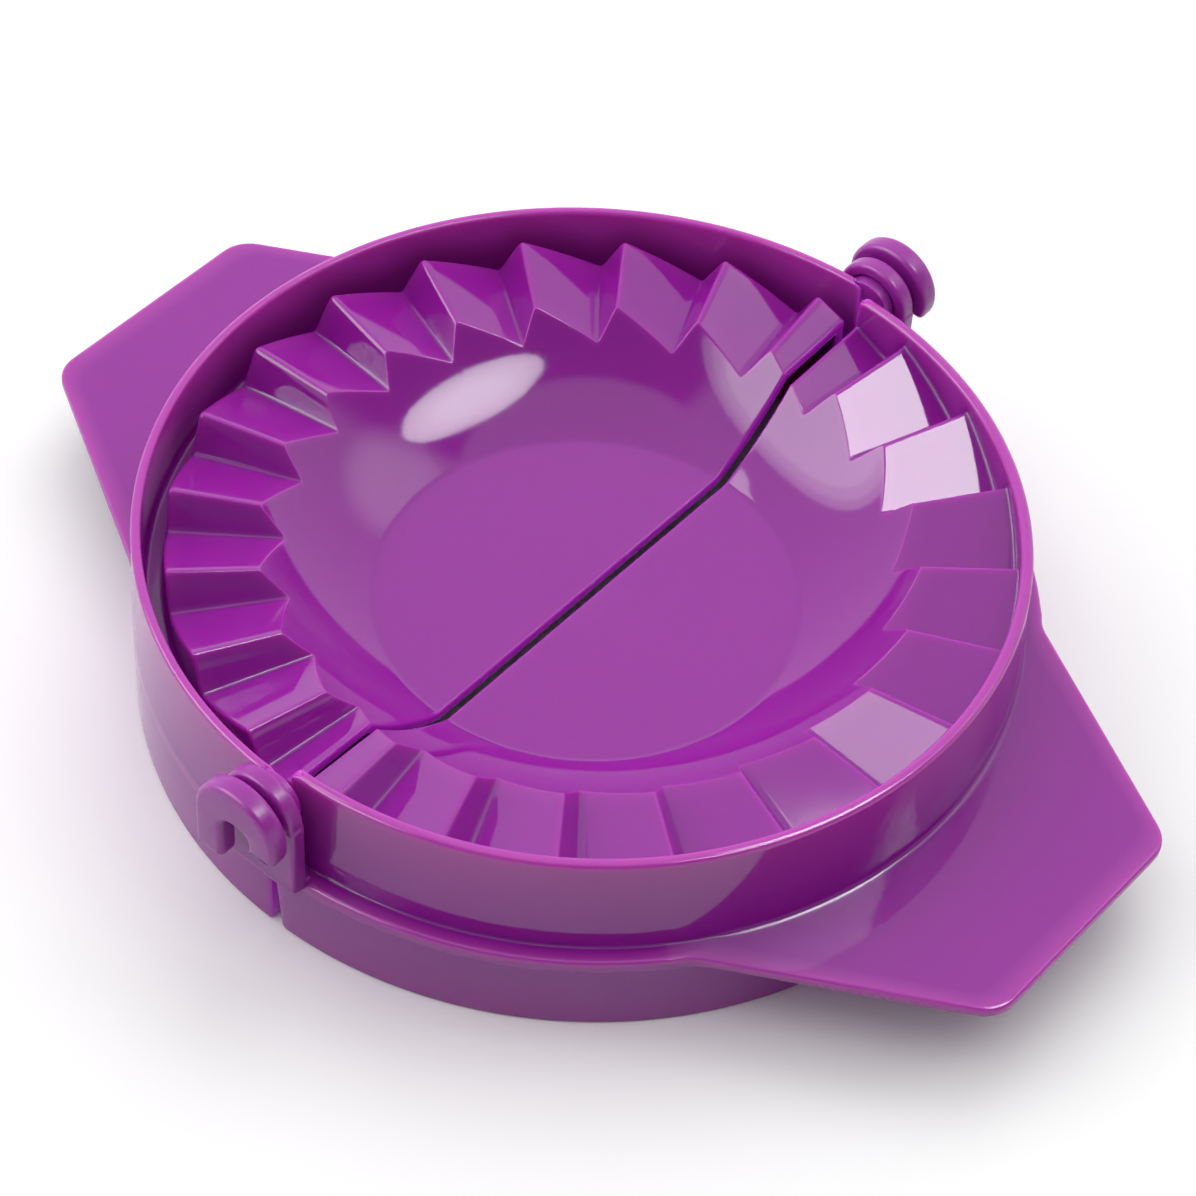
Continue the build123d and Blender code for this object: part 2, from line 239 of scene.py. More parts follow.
def side_arc(end_radius, inset, count):
    """Points of the arc from the floor's edge to end_radius, without its two ends."""
    start = np.arctan2(FLOOR_RADIUS - ARC_X, ARC_Z - FLOOR_TOP)
    end = np.arcsin((end_radius - ARC_X) / (ARC + inset))
    angle = start + (end[:, None] - start) * np.linspace(0, 1, count + 2)[1:-1]
    return np.stack([ARC_X + (ARC + inset) * np.sin(angle), ARC_Z - (ARC + inset) * np.cos(angle)], -1)


print(f"side: radius {ARC:.1f} mm, meeting a valley at {meeting_radius(np.zeros(1), 0)[0]:.1f} mm")

# %% [markdown]
# ## The handle's outline
#
# Seen from above, each half is a disc with a handle: a straight end, two leaning sides, rounded
# corners, and a hollow curve where each side runs into the disc. Every direction from the middle
# crosses that outline once, so it is a radius for each angle, read off by interpolation.

# %% Outer radius of a half at each angle from its handle's middle line
HANDLE_CORNER = 4.2          # rounding of the two outer corners
HANDLE_ROOT = 5.0            # rounding where a side runs into the disc
DISC_STUB = 3                # length of the disc's outline that is drawn beside that rounding


def handle_radius(angle, root):
    """Radius of the outline at each angle in degrees; root is the disc that the handle leaves."""
    root_turn = np.radians(HANDLE_ROOT_ANGLE)
    inner = FOOT_INSIDE * np.array([np.cos(root_turn), np.sin(root_turn)])
    outer = np.array([HANDLE_END, HANDLE_HALF])
    along = unit(outer - inner)
    middle = -(inner @ along)
    gap = np.sqrt(root**2 - (inner @ inner - middle**2))
    meet = inner + along * (middle + gap)
    tangent = np.array([-meet[1], meet[0]]) / root
    corners = np.array([[[HANDLE_END, 0], outer, meet, meet + DISC_STUB * tangent]])
    outline = closely(rounded(corners, [0, HANDLE_CORNER, HANDLE_ROOT, 0], steps=12)[0])
    bearing = np.degrees(np.arctan2(outline[:, 1], outline[:, 0]))
    reach = np.interp(angle, bearing, np.hypot(*outline.T), right=0)
    return np.maximum(reach, root)


print("handle radius at 0, 15 and 40 degrees:", handle_radius(np.array([0.0, 15, 40]), FOOT_RADIUS).round(1))

# %% [markdown]
# ## Columns of the skin
#
# Each half's skin is a grid. A column stands at one angle from the near seam, and holds the whole
# section there: over the bowl, teeth and rim, down the outside, and back underneath. Columns crowd
# together at the teeth's edges and at the handle's corners, and are sparse on smooth stretches.

# %% Angles of the columns, in degrees from the near seam
MID_RING = 41.5              # radius at which the columns' angles are counted
END_ROUND = 0.4              # rounding of the seam's edges
SEAM_TURN = np.degrees(np.arcsin((SEAM + END_ROUND) / MID_RING))
SEAM_MARGIN = 0.2            # no other column stands nearer to the seam's than this angle
CORNER_TURNS = (9.8, 14.6)   # angles from the handle's middle line between which its corner bends
ROOT_TURNS = (35.5, 39.5)    # and between which its root bends


def column_angles(side):
    """One sorted list of angles, close together where a half's surface bends."""
    edges = saw_edges(side)[0]
    steep_turn, gentle_turn = TOOTH_STEEP[side], TOOTH_PITCH[side] - TOOTH_STEEP[side]
    bends = (edges[:, None] + CREST_ROUND * np.linspace(-1, 1, 7)).ravel()
    steep = (edges[::2, None] + np.linspace(0.3, 0.7, 2) * steep_turn).ravel()
    gentle = (edges[1::2, None] + np.linspace(0.1, 0.9, 8) * gentle_turn).ravel()
    corner = 90 - np.linspace(*CORNER_TURNS, 13)
    root = 90 - np.linspace(*ROOT_TURNS, 9)
    angles = np.concatenate([bends, steep, gentle, corner, root, 180 - corner, 180 - root])
    angles = np.unique(angles.round(3))
    first = SEAM_TURN + SEAM_MARGIN
    inside = angles[(angles > first) & (angles < 180 - first)]
    return np.concatenate([[SEAM_TURN], inside, [180 - SEAM_TURN]])


TURNS = {side: column_angles(side) for side in ("left", "right")}
print(len(TURNS["left"]), "and", len(TURNS["right"]), "columns")

# %% [markdown]
# ## The sections
#
# A section is a list of corners, each with its radius, its height, how round it is and how much
# painted edge light it gets. The last value becomes an attribute of the mesh: the material paints the
# edge lighter and warmer by it, a painted glow in place of the light that shines through thin plastic.
# Walking along the list is walking along the cut face of a sawn-through half.

# %% Roundings of the section's corners, in millimetres
SOFT = 0.5                   # the handle's edges, and corners inside the moulding
CREASE = 0.4                 # where a wall meets the handle or the underside
SHARP = 0.35                 # the skirt's cutting edge, and the outer ends of the teeth
LEDGE_ROUND = 0.6            # where the right rim wall stands on its ledge
RIM_ROUNDS = {"left": (0.45, 0.5), "right": (0.5, 0.6)}     # inside and outside of a rim's top
FLOOR_ROUND = 2.5            # where the bowl's side rises from its floor
TIP_ROUND, TIP_UNDER_ROUND = 0.3, 0.6   # a tooth's inner end, and the same place underneath
FLOOR_ROWS = (0, 8, 16)      # radii of the rows that cross the bowl's floor
LEDGE_FLAT = 0.5             # least width of the flat beside the right rim wall's foot
EDGE_STRIP = 3               # width of the strip along the handle's edge in which the painted edge light fades

# Painted edge light at each kind of edge, from 0 to 1: how far its colour is painted towards the lit edge
# colour
PAINTED_LIGHT_RIM, PAINTED_LIGHT_HANDLE, PAINTED_LIGHT_FOOT, PAINTED_LIGHT_RING, PAINTED_LIGHT_TIP = 1, 0.8, 0.6, 0.2, 0.15
print("edges are rounded by", TIP_ROUND, "to", LEDGE_ROUND, "mm")


# %% A section, and its rows over the bowl and the teeth
class Section:
    """Collects the corners of a section, each an array over the columns."""

    def __init__(self, columns):
        self.columns = columns
        self.corners, self.radii, self.painted_edge_light = [], [], []

    def add(self, radius, height, round_to=0.0, painted_edge_light=0.0):
        """One corner in every column, with its rounding and its share of painted edge light."""
        ones = np.ones(self.columns)
        self.corners.append(np.stack([radius * ones, height * ones], axis=-1)[:, None])
        self.radii.append(round_to)
        self.painted_edge_light.append(painted_edge_light)

    def add_curve(self, points):
        """Points that already lie on a curve and need no rounding."""
        self.corners.append(points)
        self.radii += [0.0] * points.shape[1]
        self.painted_edge_light += [0.0] * points.shape[1]

    def skin(self, steps=4):
        """All rows of the rounded section, and the painted edge light of each row."""
        grid = rounded(np.concatenate(self.corners, axis=1), self.radii, steps=steps)
        copies = [steps + 3 if radius else 1 for radius in self.radii]
        copies[0] = copies[-1] = 1
        return grid, np.repeat(self.painted_edge_light, copies)


def bowl_and_teeth(section, height, inset, outer_radius, order=1):
    """Rows from the bowl's middle to the ring's outer edge, or back again when order is -1."""
    meet = meeting_radius(height, inset)
    tooth = meet[:, None] + (outer_radius - meet)[:, None] * np.linspace(0, 1, 6)[1:-1]
    tops = np.stack([tooth, tooth_top(tooth, height[:, None]) - inset], axis=-1)
    arc = side_arc(meet, inset, 14)
    floor = FLOOR_TOP - inset
    tip_round = TIP_ROUND if inset == 0 else TIP_UNDER_ROUND
    steps = [
        lambda: [section.add(radius, floor) for radius in FLOOR_ROWS[::order]],
        lambda: section.add(FLOOR_RADIUS, floor, FLOOR_ROUND),
        lambda: section.add_curve(arc[:, ::order]),
        lambda: section.add(meet, tooth_top(meet, height) - inset, tip_round, PAINTED_LIGHT_TIP),
        lambda: section.add_curve(tops[:, ::order]),
    ]
    for step in steps[::order]:
        step()


print("each section starts with", len(FLOOR_ROWS), "rows on the bowl's floor")


# %% Sections of both halves
def left_section(turn):
    """Corners of the left half, over the top, down the outside and back underneath."""
    height = saw(turn, "left")
    edge = handle_radius(np.abs(turn - 90), FOOT_RADIUS)
    strip = np.maximum(edge - EDGE_STRIP, FOOT_RADIUS)
    ring_inside = RING_RADIUS - WALL
    section = Section(len(turn))
    bowl_and_teeth(section, height, 0, RING_RADIUS)
    section.add(RING_RADIUS, tooth_top(RING_RADIUS, height), SHARP, PAINTED_LIGHT_RING)
    section.add(RING_RADIUS, CHANNEL_TOP, SOFT)
    section.add(FOOT_INSIDE, CHANNEL_TOP, SOFT)
    for radius, round_to in zip(LEFT_RIM_RADII, RIM_ROUNDS["left"]):
        section.add(radius, RIM_TOP, round_to, PAINTED_LIGHT_RIM)
    section.add(FOOT_RADIUS, LEDGE_TOP, CREASE)
    section.add(strip, LEDGE_TOP)
    section.add(edge, LEDGE_TOP, SOFT, PAINTED_LIGHT_HANDLE)
    section.add(edge, HANDLE_UNDER, SOFT, PAINTED_LIGHT_HANDLE)
    section.add(strip, HANDLE_UNDER)
    section.add(FOOT_RADIUS, HANDLE_UNDER, CREASE)
    section.add(FOOT_RADIUS, 0, SHARP, PAINTED_LIGHT_FOOT)
    section.add(FOOT_INSIDE, 0, SHARP, PAINTED_LIGHT_FOOT)
    section.add(FOOT_INSIDE, CHANNEL_UNDER, SOFT)
    section.add(ring_inside, CHANNEL_UNDER, CREASE)
    section.add(ring_inside, tooth_top(ring_inside, height) - WALL, SOFT)
    bowl_and_teeth(section, height, WALL, ring_inside, order=-1)
    return section


def right_wall_radius(height, top_radius):
    """Radius of the right rim wall at a height: it leans in from the ledge to its top."""
    lean = (RIGHT_WALL_FOOT - RIGHT_RIM_RADII[1]) / (RIM_TOP - LEDGE_TOP)
    return top_radius + lean * (RIM_TOP - height)


def right_section(turn):
    """Corners of the right half, whose rim stands inside a ledge that runs out into the handle."""
    height = saw(turn, "right")
    edge = handle_radius(np.abs(turn - 90), LEDGE_RADIUS)
    skirt = FOOT_RADIUS + (LEDGE_RADIUS - FOOT_RADIUS) * HANDLE_UNDER / LEDGE_TOP
    inside = RIGHT_RIM_RADII[0]
    ring_edge = right_wall_radius(VALLEY + TOOTH_RISE[1] / 2, inside)
    wall_inside = right_wall_radius(LEDGE_UNDER, inside)
    section = Section(len(turn))
    bowl_and_teeth(section, height, 0, ring_edge)
    section.add(ring_edge, tooth_top(ring_edge, height), SHARP)
    for radius, round_to in zip(RIGHT_RIM_RADII, RIM_ROUNDS["right"]):
        section.add(radius, RIM_TOP, round_to, PAINTED_LIGHT_RIM)
    section.add(RIGHT_WALL_FOOT, LEDGE_TOP, LEDGE_ROUND)
    section.add(np.maximum(edge - EDGE_STRIP, RIGHT_WALL_FOOT + LEDGE_FLAT), LEDGE_TOP)
    section.add(edge, LEDGE_TOP, SOFT, PAINTED_LIGHT_HANDLE)
    section.add(np.maximum(edge - (LEDGE_RADIUS - skirt), skirt), HANDLE_UNDER, SOFT, PAINTED_LIGHT_HANDLE)
    section.add(np.maximum(edge - EDGE_STRIP, skirt), HANDLE_UNDER)
    section.add(skirt, HANDLE_UNDER, CREASE)
    section.add(FOOT_RADIUS, 0, SHARP, PAINTED_LIGHT_FOOT)
    section.add(FOOT_INSIDE, 0, SHARP, PAINTED_LIGHT_FOOT)
    section.add(skirt - WALL, LEDGE_UNDER, SOFT)
    section.add(wall_inside, LEDGE_UNDER, CREASE)
    section.add(ring_edge, tooth_top(ring_edge, height) - WALL, SOFT)
    bowl_and_teeth(section, height, WALL, ring_edge, order=-1)
    return section


for side, half in (("left", left_section), ("right", right_section)):
    print(half.__name__, "has", half(TURNS[side]).skin()[0].shape[1], "rows")

# %% [markdown]
# ## From sections to a skin in space
#
# A column's angle belongs to its whole section, except near the seam: the seam is a plane, so there
# each row starts at the angle where its own radius meets that plane, and the angles run smoothly from
# there to the first tooth. Inside the bowl's floor a circle would miss the seam altogether, so the
# floor's edge is simply shrunk towards the middle of the seam.
#
# Seen from the side, the two ends of a half are not square: the skirt's lower corners and the rim's
# upper ones are cut round. So the seam's plane bends away there.

# %% Where each point of a section goes
SKIRT_CORNER = {"left": 0.5, "right": 1.3}    # rounding of the skirt's lower corners at the seam
RIM_CORNER = 1.2             # and of the rims' upper ones
END_STEPS = 5                # columns that round the seam's edge
SEAM_FADE = np.array([1, 0.95, 0.8, 0.55, 0.25])    # how much of the painted seam glow each of them has


def seam_distance(height, skirt_corner):
    """Distance from the hinge axis to a half's end at each height, larger at its round corners."""
    foot = np.clip(skirt_corner - height, 0, skirt_corner)
    top = np.clip(height - RIM_TOP + RIM_CORNER, 0, RIM_CORNER)
    foot_step = skirt_corner - np.sqrt(skirt_corner**2 - foot**2)
    top_step = RIM_CORNER - np.sqrt(RIM_CORNER**2 - top**2)
    return SEAM + foot_step + top_step


def in_space(grid, turn, skirt_corner):
    """Turn each column of (radius, height) about the Z axis, towards +X from the near seam."""
    radius, height = grid[..., 0], grid[..., 1]
    end = seam_distance(height, skirt_corner) + END_ROUND
    outer = np.maximum(radius, FLOOR_RADIUS)
    own_start = np.degrees(np.arcsin(end / outer))
    first_edge = TOOTH_START - 1
    from_end = np.minimum(turn, 180 - turn)[:, None]
    share = np.clip((first_edge - from_end) / (first_edge - SEAM_TURN), 0, 1)
    from_end = from_end + (own_start - SEAM_TURN) * share
    angle = np.radians(np.where(turn[:, None] > 90, 180 - from_end, from_end))
    shrink = np.minimum(radius / FLOOR_RADIUS, 1)
    x = end + shrink * (outer * np.sin(angle) - end)
    y = -shrink * outer * np.cos(angle)
    return np.stack([x, y, height], axis=-1)


def outward(line, reach=0.06):
    """Outward normals of a plane line (distance, height), from its direction a little each way."""
    steps = np.linalg.norm(np.diff(line, axis=0), axis=1)
    along = np.concatenate([[0], np.cumsum(steps)])
    ahead = np.stack([np.interp(along + reach, along, line[:, k]) for k in (0, 1)], axis=-1)
    behind = np.stack([np.interp(along - reach, along, line[:, k]) for k in (0, 1)], axis=-1)
    direction = unit(ahead - behind)
    return np.stack([-direction[:, 1], direction[:, 0]], axis=-1)


def rounded_end(column):
    """Columns that round a half's end: each is drawn in further and lies nearer the seam."""
    sign = np.sign(column[:, 1].sum())
    line = np.stack([np.abs(column[:, 1]), column[:, 2]], axis=-1)
    normal = outward(line)
    ends = []
    for angle in np.radians(np.linspace(0, 90, END_STEPS + 1)[1:]):
        drawn = line - END_ROUND * (1 - np.cos(angle)) * normal
        x = column[:, 0] - END_ROUND * np.sin(angle)
        ends.append(np.stack([x, sign * drawn[:, 0], drawn[:, 1]], axis=-1))
    return np.array(ends)


def half_skin(section, side):
    """All points of one half, as (columns, rows, 3), with each point's painted edge light and painted seam
    glow.
    """
    grid, painted_edge_light = section(TURNS[side]).skin()
    points = in_space(grid, TURNS[side], SKIRT_CORNER[side])
    points = np.concatenate([rounded_end(points[0])[::-1], points, rounded_end(points[-1])])
    if side == "left":
        points[..., 0] *= -1
    # the seam's end columns get the painted seam glow: light emitted there in place of the light the seam
    # faces pass to each other
    glow = np.zeros(points.shape[:2])
    glow[:END_STEPS] = SEAM_FADE[:, None]
    glow[-END_STEPS:] = SEAM_FADE[::-1, None]
    return points, np.broadcast_to(painted_edge_light, points.shape[:2]), glow


print("left skin:", half_skin(left_section, "left")[0].shape)

# %% [markdown]
# ## From arrays to meshes
#
# Blender takes the points and the faces as plain lists of numbers. Each cell of the grid becomes one
# face. Where rows meet in a point, as in the middle of the bowl, merging by distance turns the
# folded faces into triangles. The seam's end is then the only hole left, and is filled and divided.

# %% Grid to mesh
MERGE = 2e-6                 # points nearer than this, in metres, become one


def edge_uses(mesh):
    """How many faces use each edge: 2 everywhere on a closed skin."""
    edges = np.zeros(len(mesh.loops), dtype=np.int32)
    mesh.loops.foreach_get("edge_index", edges)
    return np.bincount(edges, minlength=len(mesh.edges))


def grid_faces(columns, rows, wrap_columns=False, wrap_rows=False):
    """Four corners of every cell, numbered column by column."""
    numbers = np.arange(columns * rows).reshape(columns, rows)
    if wrap_columns:
        numbers = np.concatenate([numbers, numbers[:1]])
    if wrap_rows:
        numbers = np.concatenate([numbers, numbers[:, :1]], axis=1)
    cells = [numbers[:-1, :-1], numbers[1:, :-1], numbers[1:, 1:], numbers[:-1, 1:]]
    return np.stack(cells, axis=-1).reshape(-1, 4)


def flat_cap(points, numbers, plane):
    """Triangles that fill a flat outline; plane names the two axes that it is seen along."""
    outline = [Vector((*points[number][plane], 0)) for number in numbers]
    return [[numbers[corner] for corner in triangle] for triangle in tessellate_polygon([outline])]


def make_piece(name, points, looks, wrap_columns=False, wrap_rows=False, caps=(), plane=(Y, Z)):
    """A smooth-shaded object in metres from a grid of points in millimetres, closed and outward.

    looks holds a value for each point under the names that the plastic reads.
    """
    columns, rows = points.shape[:2]
    mesh = bpy.data.meshes.new(name)
    faces = grid_faces(columns, rows, wrap_columns, wrap_rows).tolist()
    flat = points.reshape(-1, 3)
    for outline in caps:
        faces += flat_cap(flat, outline, list(plane))
    mesh.from_pydata((flat * MM).tolist(), [], faces)
    for look, values in looks.items():
        values = np.broadcast_to(values, points.shape[:2]).ravel().astype(np.float32)
        mesh.attributes.new(look, "FLOAT", "POINT").data.foreach_set("value", values)
    shape = bmesh.new()
    shape.from_mesh(mesh)
    bmesh.ops.remove_doubles(shape, verts=shape.verts, dist=MERGE)
    bmesh.ops.recalc_face_normals(shape, faces=shape.faces)
    shape.to_mesh(mesh)
    shape.free()
    mesh.polygons.foreach_set("use_smooth", np.ones(len(mesh.polygons), dtype=bool))
    piece = bpy.data.objects.new(name, mesh)
    bpy.context.collection.objects.link(piece)
    triangles = len(mesh.loops) - 2 * len(mesh.polygons)
    open_edges = np.count_nonzero(edge_uses(mesh) == 1)
    print(f"{name}: {triangles} triangles, {open_edges} open edges")
    return piece


def seam_outline(points):
    """Numbers of the points round the seam's end: out along its near side, back along its far side."""
    columns, rows = points.shape[:2]
    near = np.arange(rows)
    far = (columns - 1) * rows + np.arange(rows)
    return [np.concatenate([near, far[-2:0:-1]]).tolist()]


def end_outlines(points):
    """Numbers of the points round both ends of an outline that was carried along."""
    columns, rows = points.shape[:2]
    return [list(range(rows)), [(columns - 1) * rows + k for k in range(rows)]]


halves = {}
for side, section in (("left", left_section), ("right", right_section)):
    points, painted_edge_light, glow = half_skin(section, side)
    # each point carries its painted edge light, its painted seam glow and its satin finish
    looks = {"painted_edge_light": painted_edge_light, "glow": glow, "satin": 0}
    halves[side] = make_piece(f"{side}_half_skin", points, looks, caps=seam_outline(points))
left_half, right_half = halves["left"], halves["right"]

# %% [markdown]
# ## The pivots
#
# At each end of the seam the left half carries a hollow pin with a rounded head, and the right half
# an upright plate that turns on it. Head and pin are open below, because the mould's core must leave
# that way; seen from outside they look like an arch with one long leg.
#
# An arch is a flat outline carried straight along the hinge axis. Its ends are rounded just as the
# seam's ends are, by drawing the outline in while it nears the end.

# %% Outline carried along the hinge axis
def carried(outline, start, end, edge, steps=5):
    """Points of a solid with rounded ends; outline is (points, 2) in X and Z, turning left."""
    normal = -outward(np.concatenate([outline[-3:], outline, outline[:3]]))[3:-3]
    angles = np.radians(np.linspace(90, 0, steps + 1))
    draw = edge * (1 - np.cos(angles))
    depth = edge * (1 - np.sin(angles))
    draw = np.concatenate([draw, draw[::-1]])
    place = np.concatenate([start + depth, end - depth[::-1]])
    line = outline[None] - draw[:, None, None] * normal[None]
    y = np.broadcast_to(place[:, None], line.shape[:2])
    return np.stack([line[..., 0], y, line[..., 1]], axis=-1)


def mirrored_ends(make):
    """Build a pivot piece at the far end, and its mirror image at the near end."""
    far = make()
    return {"far": far, "near": far * [1, -1, 1]}


print("axis height", AXIS_HEIGHT)

# %% Heads and pins
SLOT_HALF = 1.95             # half the width of the slot that hollows a head and its pin
SLOT_TOP = AXIS_HEIGHT + 0.6
HEAD_RADIUS = high("far_pivot_head", X)
HEAD_LONG_LEG = low("far_pivot_head", Z)
HEAD_SHORT_LEG = AXIS_HEIGHT - 2.1
PIN_RADIUS = high("far_pivot_pin", X)
PIN_FOOT = low("far_pivot_pin", Z)
HEAD_EDGE, PIN_EDGE = 0.7, 0.1      # rounding of their ends
HEAD_FOOT, PIN_FOOT_ROUND = 0.5, 0.2    # and of the lower corners of their outlines
PIN_SINK = 0.6               # how far a pin runs on into its head
GAP_TURN = 10                # the arc leaves out this angle at a corner, so that it can be rounded
# pivots, eyes and haunches are painted a quarter of the way to the lit edge colour all over, with no painted
# seam glow
PIVOT_LOOKS = {"painted_edge_light": 0.25, "glow": 0, "satin": 1}


def round_the_axis(radius, start, end, count=45):
    """Points of an arc about the hinge axis, as (x, height), between two angles in degrees."""
    turn = np.radians(np.linspace(start, end, count))
    return np.stack([radius * np.cos(turn), AXIS_HEIGHT + radius * np.sin(turn)], axis=-1)


def arch(radius, left_foot, right_foot, foot_round, straight=False):
    """Outline of a disc with a slot cut up into it; its left side may hang straight down."""
    start = -np.degrees(np.arcsin((AXIS_HEIGHT - right_foot) / radius))
    end = 180 if straight else 180 + np.degrees(np.arcsin((AXIS_HEIGHT - left_foot) / radius))
    disc = round_the_axis(radius, start + GAP_TURN, end if straight else end - GAP_TURN)
    foot = -radius if straight else radius * np.cos(np.radians(end))
    slot = [(foot, left_foot), (-SLOT_HALF, left_foot), (-SLOT_HALF, SLOT_TOP),
            (SLOT_HALF, SLOT_TOP), (SLOT_HALF, right_foot)]
    corners = np.concatenate([round_the_axis(radius, start, start, 1), disc, slot])[None]
    radii = [foot_round] + [0] * len(disc) + [foot_round, foot_round, SLOT_HALF, SLOT_HALF, foot_round]
    return rounded(corners, radii, closed=True, steps=10)[0]


def head_points():
    """The arch with one straight long leg, carried along the axis."""
    outline = arch(HEAD_RADIUS, HEAD_LONG_LEG, HEAD_SHORT_LEG, HEAD_FOOT, straight=True)
    return carried(outline, low("far_pivot_head", Y), high("far_pivot_head", Y), HEAD_EDGE)


def pin_points():
    """The small round arch, carried along the axis and on into the head."""
    outline = arch(PIN_RADIUS, PIN_FOOT, PIN_FOOT, PIN_FOOT_ROUND)
    return carried(outline, low("far_pivot_pin", Y), high("far_pivot_pin", Y) + PIN_SINK, PIN_EDGE)


pivots = {}
for kind, make in (("head", head_points), ("pin", pin_points)):
    for end, points in mirrored_ends(make).items():
        pivots[f"{end}_pivot_{kind}"] = make_piece(
            f"{end}_{kind}_skin", points, PIVOT_LOOKS, wrap_rows=True, caps=end_outlines(points), plane=(X, Z)
        )

# %% [markdown]
# ## The hinge eyes
#
# Each eye is an upright plate with a round top and a bore. It is worked out as a closed loop carried
# round the bore: at every direction from the hinge axis the loop runs out along one face, over the
# rounded edge, back along the other face and through the bore. A low haunch under it carries it on
# the ledge, on the right half's side only.

# %% Eyes
EYE_RADIUS = high("far_hinge_eye", Z) - AXIS_HEIGHT
LEG_HALF = high("far_hinge_eye", X)
BORE_CLEARANCE = 0.2
BORE = PIN_RADIUS + BORE_CLEARANCE
SHOULDER_DROP = 0.35         # the leg's sides end this far under the axis, and the round top begins
EYE_SPAN = (low("far_hinge_eye", Y), high("far_hinge_eye", Y))


def outline_radius(angle, corners, radii):
    """Distance from the hinge axis to a closed outline in each direction, in degrees."""
    outline = rounded(np.array([corners], dtype=float), radii, closed=True, steps=12)[0]
    outline = closely(np.concatenate([outline, outline[:1]]), 4000)
    bearing = np.degrees(np.arctan2(outline[:, 1] - AXIS_HEIGHT, outline[:, 0]))
    reach = np.hypot(outline[:, 0], outline[:, 1] - AXIS_HEIGHT)
    order = np.argsort(bearing)
    return np.interp(angle, bearing[order], reach[order], period=360)


def eye_angles():
    """Directions from the axis, in degrees, close together at the leg's shoulders and corners."""
    leg = np.degrees(np.arctan2(LEG_HALF, AXIS_HEIGHT - LEDGE_TOP))
    top = np.linspace(1, 179, 61)
    shoulder = np.linspace(0, 6, 9)
    side = np.linspace(80, leg + 4, 12)
    corner = np.linspace(leg + 3, leg - 4, 15)
    foot = np.linspace(-leg + 5, leg - 5, 21)
    below = np.concatenate([-side, -corner, foot, corner[::-1], side[::-1]])
    return np.concatenate([top, 180 + shoulder, 270 + below, 360 - shoulder[::-1]])


def eye_points():
    """A loop out along one face and back along the other, turned about the axis."""
    foot, shoulder = LEDGE_TOP, AXIS_HEIGHT - SHOULDER_DROP
    disc = round_the_axis(EYE_RADIUS, 0, 180)
    corners = [(-LEG_HALF, foot), (LEG_HALF, foot), (LEG_HALF, shoulder), *disc, (-LEG_HALF, shoulder)]
    radii = [0.8, 0.3, 0.15] + [0] * len(disc) + [0.15]
    angle = eye_angles()
    reach = outline_radius(np.where(angle > 180, angle - 360, angle), corners, radii)
    ones = np.ones_like(angle)
    loop = [(BORE * ones, EYE_SPAN[0] * ones), (reach, EYE_SPAN[0] * ones),
            (reach, EYE_SPAN[1] * ones), (BORE * ones, EYE_SPAN[1] * ones)]
    corners = np.stack([np.stack(pair, -1) for pair in loop], axis=1)
    grid = rounded(corners, [0.15, 0.5, 0.5, 0.2], closed=True)
    direction = np.radians(angle)[:, None]
    x = grid[..., 0] * np.cos(direction)
    z = AXIS_HEIGHT + grid[..., 0] * np.sin(direction)
    return np.stack([x, grid[..., 1], z], axis=-1)


for end, points in mirrored_ends(eye_points).items():
    eye = make_piece(f"{end}_eye_skin", points, PIVOT_LOOKS, wrap_columns=True, wrap_rows=True)
    pivots[f"{end}_hinge_eye"] = eye

# %% Haunches under the eyes
HAUNCH_DROP = 0.8            # how far a haunch reaches down the skirt
HAUNCH_SINK, HAUNCH_LIFT = 0.5, 0.6     # how far it runs into the skirt, and up into the eye
HAUNCH_EDGE = 0.3


def haunch_points():
    """A wedge between the skirt and the eye's outer face, carried along the seam."""
    inner, outer = FOOT_RADIUS - HAUNCH_SINK, EYE_SPAN[1]
    slope = HAUNCH_DROP / (outer - FOOT_RADIUS)
    top = LEDGE_TOP + HAUNCH_LIFT
    corners = [(inner, LEDGE_TOP - slope * (outer - inner)), (outer, LEDGE_TOP), (outer, top), (inner, top)]
    outline = rounded(np.array([corners], dtype=float), [0.1, HAUNCH_EDGE, 0.1, 0.1], closed=True)[0]
    return carried(outline, SEAM, LEG_HALF, HAUNCH_EDGE)[..., [1, 0, 2]]


haunches = []
for end, points in mirrored_ends(haunch_points).items():
    haunch = make_piece(f"{end}_eye_haunch", points, PIVOT_LOOKS, wrap_rows=True, caps=end_outlines(points))
    haunches.append(haunch)

# %% [markdown]
# ## Who moves with what
#
# Every new piece rides on one of the two bodies, and the solids that it stands for are hidden.

# %% Ride and replace
LEFT_NODES = ["left_bowl", "left_crimp_ring", "left_channel_floor",
              "left_rim_wall", "left_skirt", "left_handle"]
RIGHT_NODES = ["right_bowl", "right_crimp_ring", "right_rim_wall",
               "right_ledge", "right_skirt", "right_handle"]
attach(left_half, "left_half")
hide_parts(*LEFT_NODES)
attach(right_half, "right_half")
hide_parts(*RIGHT_NODES)
for node, piece in pivots.items():
    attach(piece, "right_half" if node.endswith("eye") else "left_half")
    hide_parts(node)
for haunch in haunches:
    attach(haunch, "right_half")
left_pieces = [left_half] + [piece for node, piece in pivots.items() if not node.endswith("eye")]
right_pieces = [right_half] + [piece for node, piece in pivots.items() if node.endswith("eye")] + haunches
print(len(left_pieces), "pieces on the left half,", len(right_pieces), "on the right")

